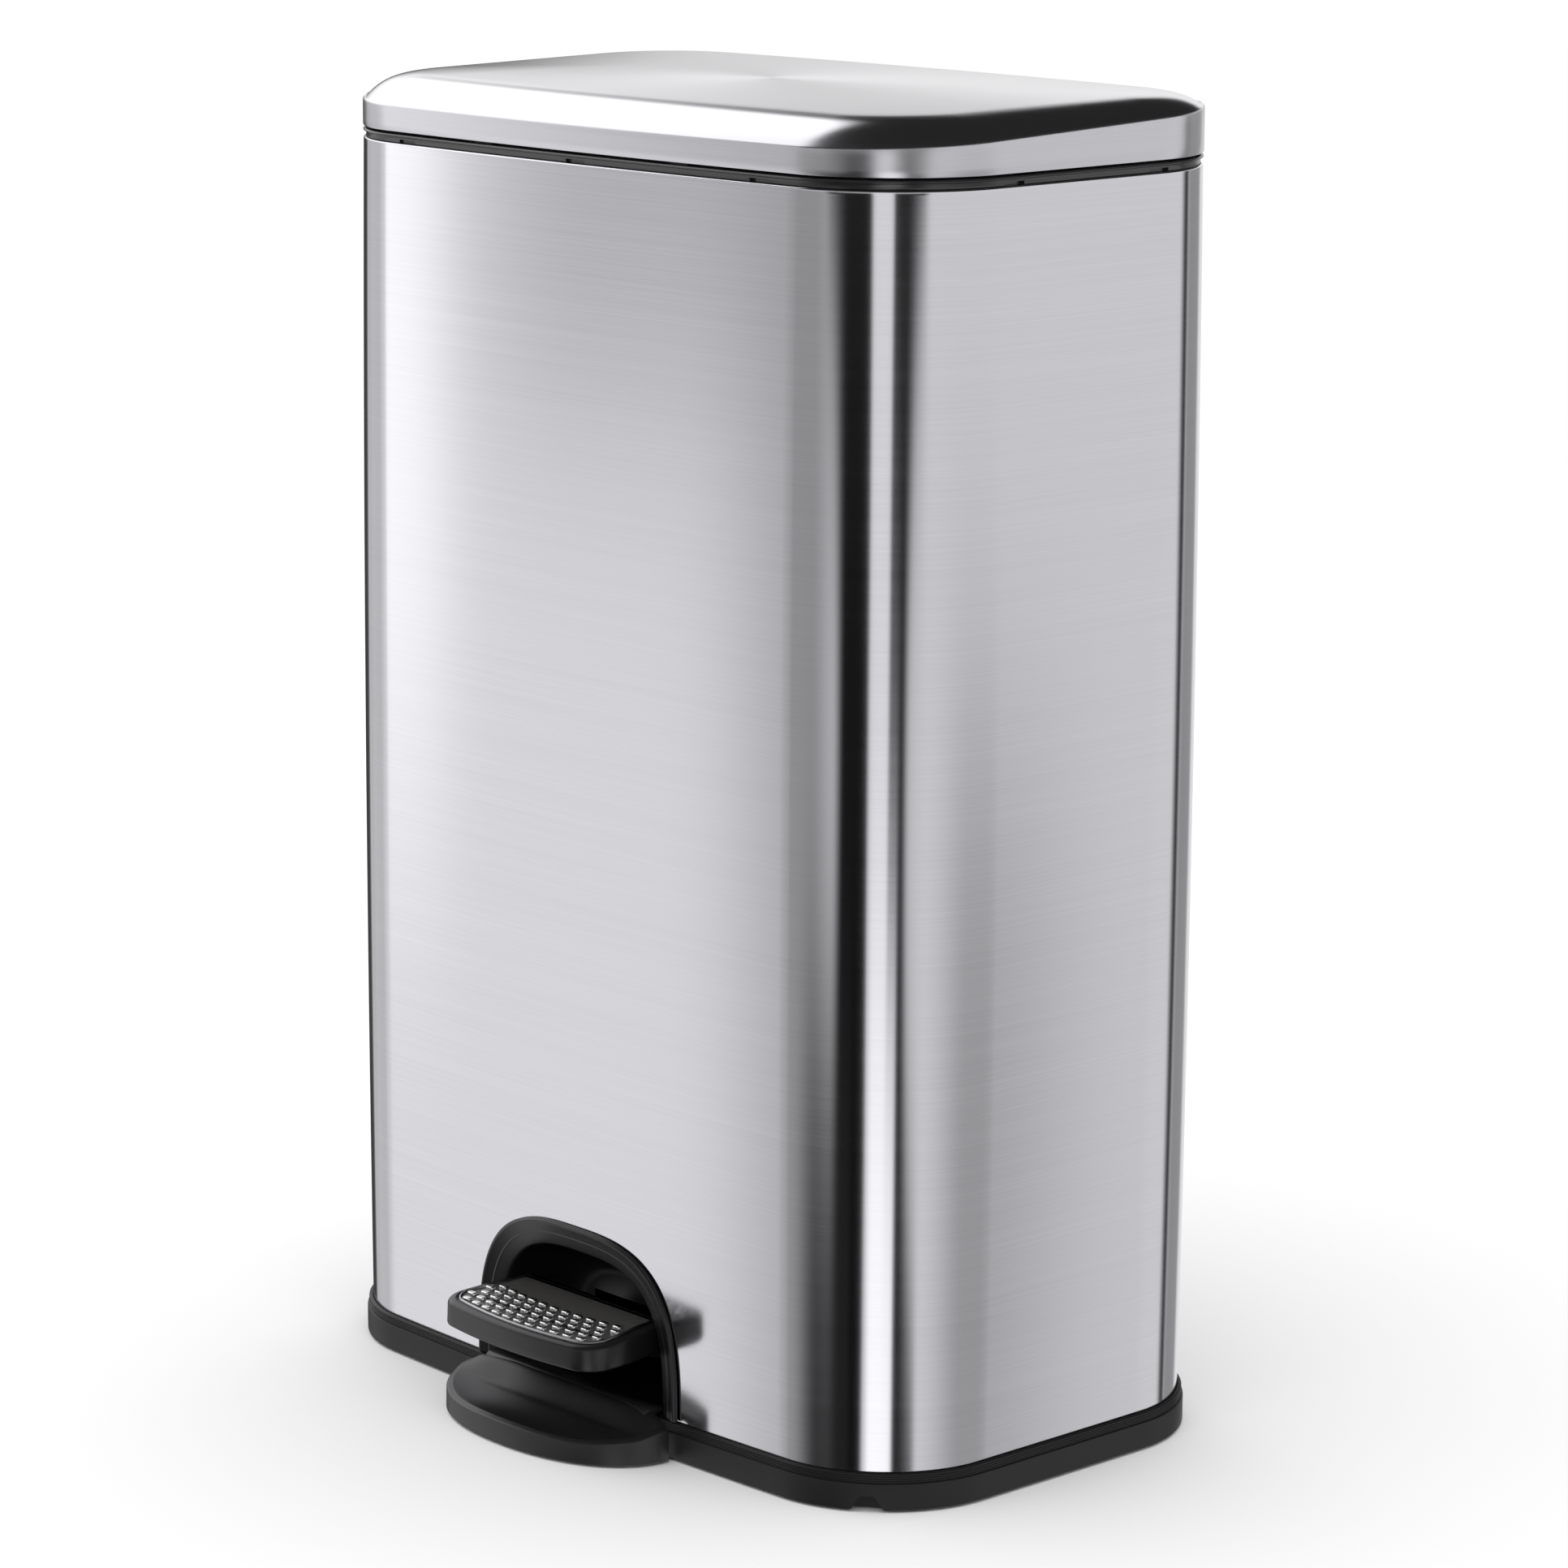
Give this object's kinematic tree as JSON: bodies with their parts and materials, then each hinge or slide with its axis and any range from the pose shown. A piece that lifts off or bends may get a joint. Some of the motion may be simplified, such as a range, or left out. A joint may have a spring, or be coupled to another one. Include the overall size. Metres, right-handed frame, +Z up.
{
  "type": "pedal trash can",
  "caption": "Rectangular step-on waste bin: brushed steel body, hinged steel lid raised by a front foot pedal through a lever and rod, with a lift-out inner bucket.",
  "frame": {"origin": "middle of the object's footprint, on the floor", "axes": "+Z up, -Y towards the pedal and the front, +X to the right seen from the front"},
  "size_m": [0.4094, 0.3222, 0.633],
  "materials": {
    "brushed_steel": "fine horizontal brushing, clear fingerprint-proof coat",
    "black_plastic": "satin moulded black plastic",
    "bucket_plastic": "matt dark grey moulded plastic",
    "rubber": "soft black rubber",
    "plated_steel": "zinc plated steel"
  },
  "bodies": {
    "can": {"axle_bracket": "plated_steel", "axle_clip_left": "plated_steel", "axle_clip_right": "plated_steel", "axle_screw_front": "plated_steel", "axle_screw_rear": "plated_steel", "base_pan": "black_plastic", "base_ring": "black_plastic", "body_shell": "brushed_steel", "bracket_screw_lower_left": "plated_steel", "bracket_screw_lower_right": "plated_steel", "bracket_screw_upper_left": "plated_steel", "bracket_screw_upper_right": "plated_steel", "foot_front_left": "rubber", "foot_front_right": "rubber", "foot_rear_left": "rubber", "foot_rear_right": "rubber", "hinge_bracket": "plated_steel", "hinge_pin": "plated_steel", "inner_bucket": "bucket_plastic", "pan_screw_front_left": "plated_steel", "pan_screw_front_right": "plated_steel", "pan_screw_rear_left": "plated_steel", "pan_screw_rear_right": "plated_steel", "pedal_axle": "plated_steel", "pedal_housing": "black_plastic", "rear_cover": "black_plastic", "rim_ring": "black_plastic", "rod_guide_lower": "black_plastic", "rod_guide_upper": "black_plastic", "toe_guard": "black_plastic"},
    "lid": {"lid_bumper_left": "rubber", "lid_bumper_right": "rubber", "lid_hinge_plate": "plated_steel", "lid_liner": "black_plastic", "lid_screw_inner_left": "plated_steel", "lid_screw_inner_right": "plated_steel", "lid_screw_outer_left": "plated_steel", "lid_screw_outer_right": "plated_steel", "lid_shell": "brushed_steel"},
    "pedal": {"pad_screw_left": "plated_steel", "pad_screw_right": "plated_steel", "pedal_lever": "plated_steel", "pedal_pad": "black_plastic", "pedal_tread": "rubber"},
    "lift_rod": {"lift_rod": "plated_steel"}
  },
  "joints": [
    {"name": "lid_hinge", "type": "hinge", "parent": "can", "child": "lid", "pos_m": [0, 0.1471, 0.6], "axis": [-1, 0, 0], "range_deg": [0, 76]},
    {"name": "pedal_pivot", "type": "hinge", "parent": "can", "child": "pedal", "pos_m": [0, 0.005, 0.026], "axis": [1, 0, 0], "range_deg": [0, 9.79]},
    {"name": "rod_lift", "type": "slide", "parent": "can", "child": "lift_rod", "axis": [0, 0, 1], "range_m": [0, 0.0196]}
  ],
  "couplings": [
    {"joint": "pedal_pivot", "follows": "lid_hinge", "ratio": 0.12868},
    {"joint": "rod_lift", "follows": "lid_hinge", "m_per_rad": 0.014725}
  ]
}
